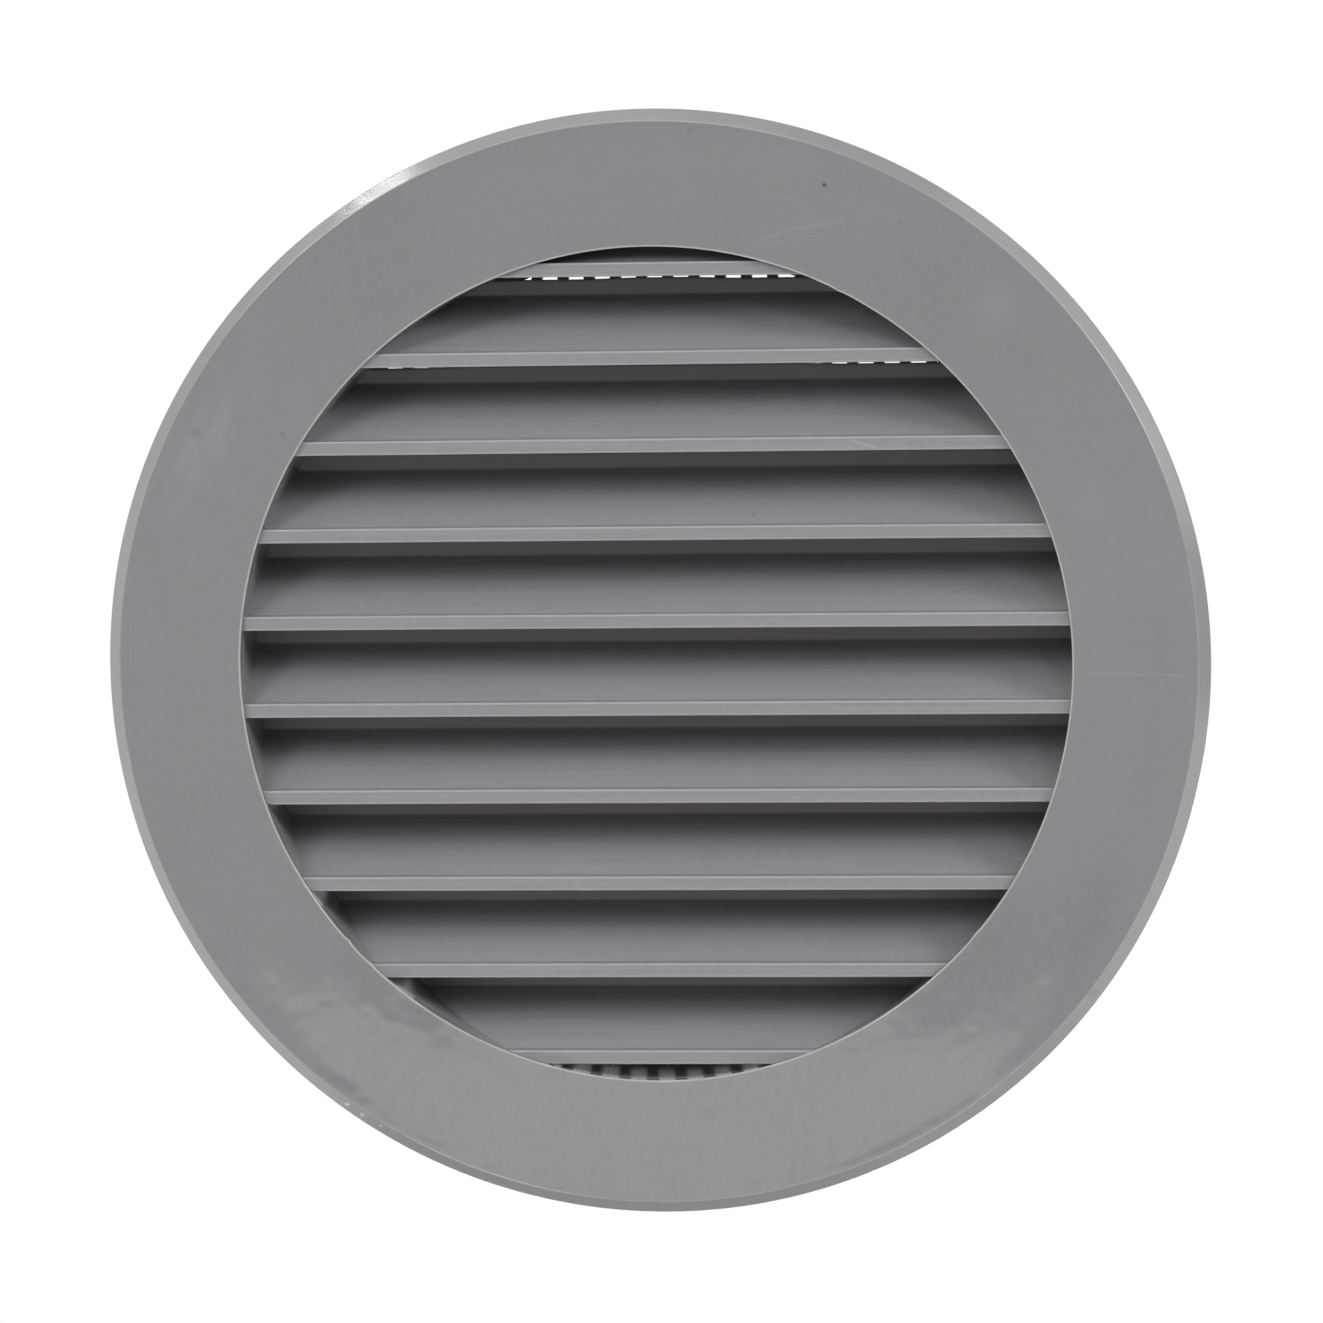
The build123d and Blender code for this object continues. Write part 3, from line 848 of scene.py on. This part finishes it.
# ---- camera --------------------------------------------------------------------------
rx, ry, rz = math.radians(4.95), math.radians(6.25), math.radians(-0.34)
RX = Matrix(((1, 0, 0), (0, math.cos(rx), -math.sin(rx)), (0, math.sin(rx), math.cos(rx))))
RY = Matrix(((math.cos(ry), 0, math.sin(ry)), (0, 1, 0), (-math.sin(ry), 0, math.cos(ry))))
RZ = Matrix(((math.cos(rz), -math.sin(rz), 0), (math.sin(rz), math.cos(rz), 0), (0, 0, 1)))
R = RZ @ RY @ RX
to_scene = lambda v: Vector((v[0], v[2], -v[1]))
right, down, ahead = (to_scene(R[0]), to_scene(R[1]), to_scene(R[2]))
cam = bpy.data.cameras.new("camera")
cam.sensor_width, cam.lens = 36.0, 36.0 * 7212.0 / 1323.0
cam.clip_start, cam.clip_end = 0.01, 50.0
cam_o = bpy.data.objects.new("camera", cam)
bpy.context.scene.collection.objects.link(cam_o)
pos = Vector((107.07, -968.22, 84.08)) * MM
cam_o.matrix_world = Matrix((
    (right.x, -down.x, -ahead.x, pos.x), (right.y, -down.y, -ahead.y, pos.y), (right.z, -down.z, -ahead.z, pos.z), (0, 0, 0, 1)))
bpy.context.scene.camera = cam_o


# ---- floor, light and background -----------------------------------------------------
bm = bmesh.new()
bmesh.ops.create_grid(bm, x_segments=4, y_segments=4, size=1.0)
for v in bm.verts:
    v.co = Vector((v.co.x * 0.9, v.co.y * 0.9, -2.6))
me = bpy.data.meshes.new("floor"); bm.to_mesh(me); bm.free()
floor = link(me, "floor")
m = Mat("floor_white")
v = m.noise(m.coord, 2.0, 2.0, 0.5)
m.wire(m.mix(v, (0.80, 0.80, 0.80), (0.84, 0.84, 0.84)), m.b.inputs["Base Color"])
m.b.inputs["Roughness"].default_value = 0.9
paint(floor, m.m)


def area(name, where, size, power, colour):
    l = bpy.data.lights.new(name, "AREA")
    l.shape, l.size, l.size_y, l.energy, l.color = "RECTANGLE", size[0], size[1], power, colour
    o = bpy.data.objects.new(name, l)
    o.location = Vector(where)
    o.rotation_mode = "QUATERNION"
    o.rotation_quaternion = Vector(where).to_track_quat("Z", "Y")
    bpy.context.scene.collection.objects.link(o)
    return o


# panels of a big soft light tent, all facing the part: name, place (m), size (m), watts, colour.
# card is the white board below the camera, and the kick lights are small and bright.
PANELS = [
    ("l_m30_m15", (-1.120, -1.230, -0.440), (0.5, 0.5), 1.0, (1.04, 0.985, 0.98)),
    ("l_m30_10", (-0.837, -1.450, 0.295), (0.5, 0.5), 0.7441, (1.034, 0.981, 1.06)),
    ("l_m30_25", (-0.770, -1.334, 0.718), (0.5, 0.5), 8.087, (0.983, 1.002, 1.06)),
    ("l_m30_40", (-0.651, -1.128, 1.093), (0.5, 0.5), 2.253, (0.97, 1.01, 0.989)),
    ("l_m30_55", (-0.488, -0.844, 1.393), (0.5, 0.5), 1.978, (0.981, 0.985, 0.962)),
    ("l_m62_m65", (-0.620, -0.700, -1.420), (0.5, 0.5), 11.0, (0.98, 1.008, 1.013)),
    ("l_m62_10", (-1.478, -0.786, 0.295), (0.5, 0.5), 1.241, (1.06, 0.977, 1.06)),
    ("l_m62_40", (-1.150, -0.611, 1.093), (0.5, 0.5), 4.451, (1.037, 1.002, 0.94)),
    ("l_0_40", (0.000, -1.302, 1.093), (0.5, 0.5), 4.211, (1.06, 0.984, 0.944)),
    ("l_0_75", (0.000, -0.440, 1.642), (0.5, 0.5), 0.8709, (1.06, 1.032, 0.94)),
    ("l_30_m15", (0.821, -1.422, -0.440), (0.5, 0.5), 1.53, (1.06, 0.974, 0.94)),
    ("l_30_25", (0.770, -1.334, 0.718), (0.5, 0.5), 6.1, (0.96, 1.002, 1.06)),
    ("l_62_m65", (0.620, -0.700, -1.420), (0.5, 0.5), 3.9, (0.991, 1.014, 1.019)),
    ("l_62_25", (1.360, -0.723, 0.718), (0.5, 0.5), 16.21, (1.001, 0.999, 1.016)),
    ("s_m90_m34", (-1.409, 0.050, -0.951), (1.2, 1.2), 6.4, (1.03, 1.001, 1.004)),
    ("s_m90_0", (-1.700, 0.050, 0.000), (0.9, 0.9), 2.9, (1.03, 1.008, 0.97)),
    ("s_m90_30", (-1.472, 0.050, 0.850), (0.9, 0.9), 2.2, (1.02, 1.01, 0.998)),
    ("s_90_m30", (1.472, 0.050, -0.850), (1.2, 1.2), 7.8, (1.011, 1.003, 1.011)),
    ("s_90_m62", (0.798, 0.050, -1.501), (0.7, 0.7), 1.15, (1.011, 1.003, 1.011)),
    ("s_90_0", (1.700, 0.050, 0.000), (0.9, 0.9), 0.4, (1.02, 1.007, 1.009)),
    ("s_90_45", (1.202, 0.050, 1.202), (0.9, 0.9), 3.2, (1.03, 1.01, 0.97)),
    ("card", (0.000, -1.321, -0.5635), (1.30, 0.28), 1.95, (1.03, 0.995, 1)),
    ("kick_r", (1.4060, -0.165, 0.4895), (0.42, 0.42), 1.2, (1, 1.01, 0.98)),
    ("kick_ul", (-0.9008, 0.030, 1.1990), (0.12, 0.12), 1.9, (1.01, 1, 0.99)),
    ("glow_ul", (-0.6576, 0.030, 1.3482), (1.2, 1.2), 4.0, (1.01, 1, 0.99)),
    ("rear_low", (0.000, 1.600, -0.600), (0.8, 0.8), 18.0, (1.03, 1.002, 1.04)),
    ("front_a", (-0.26, -1.66, -0.23), (1.30, 0.36), 0.20, (1, 1, 1.02)),
    ("front_b", (-0.26, -1.67, -0.17), (1.30, 0.48), 0.26, (1, 1, 1.02)),
    ("front_c", (-0.26, -1.68, -0.11), (1.30, 0.60), 0.32, (1, 1, 1.02)),
]
for row in PANELS:
    area(*row)

# white backdrop: full white to the camera, and a softer glow from behind the part only
w = bpy.data.worlds.new("world")
bpy.context.scene.world = w
w.use_nodes = True
t = w.node_tree
t.nodes.clear()
out = t.nodes.new("ShaderNodeOutputWorld")
mixer = t.nodes.new("ShaderNodeMixShader")
path = t.nodes.new("ShaderNodeLightPath")
way = t.nodes.new("ShaderNodeTexCoord")
part = t.nodes.new("ShaderNodeSeparateXYZ")
rear = t.nodes.new("ShaderNodeMapRange")
for k, val in zip((1, 2, 3, 4), (-0.05, 0.05, 0.0, 0.45)):
    rear.inputs[k].default_value = val
dim = t.nodes.new("ShaderNodeBackground"); dim.inputs[0].default_value = (1, 1, 1, 1)
lit = t.nodes.new("ShaderNodeBackground"); lit.inputs[0].default_value = (1, 1, 1, 1); lit.inputs[1].default_value = 1.0
t.links.new(way.outputs["Generated"], part.inputs[0])
t.links.new(part.outputs["Y"], rear.inputs[0])
t.links.new(rear.outputs[0], dim.inputs[1])
t.links.new(path.outputs["Is Camera Ray"], mixer.inputs[0])
t.links.new(dim.outputs[0], mixer.inputs[1])
t.links.new(lit.outputs[0], mixer.inputs[2])
t.links.new(mixer.outputs[0], out.inputs[0])

view = bpy.context.scene.view_settings
view.view_transform, view.look, view.exposure, view.gamma = "Standard", "None", 0.0, 1.0
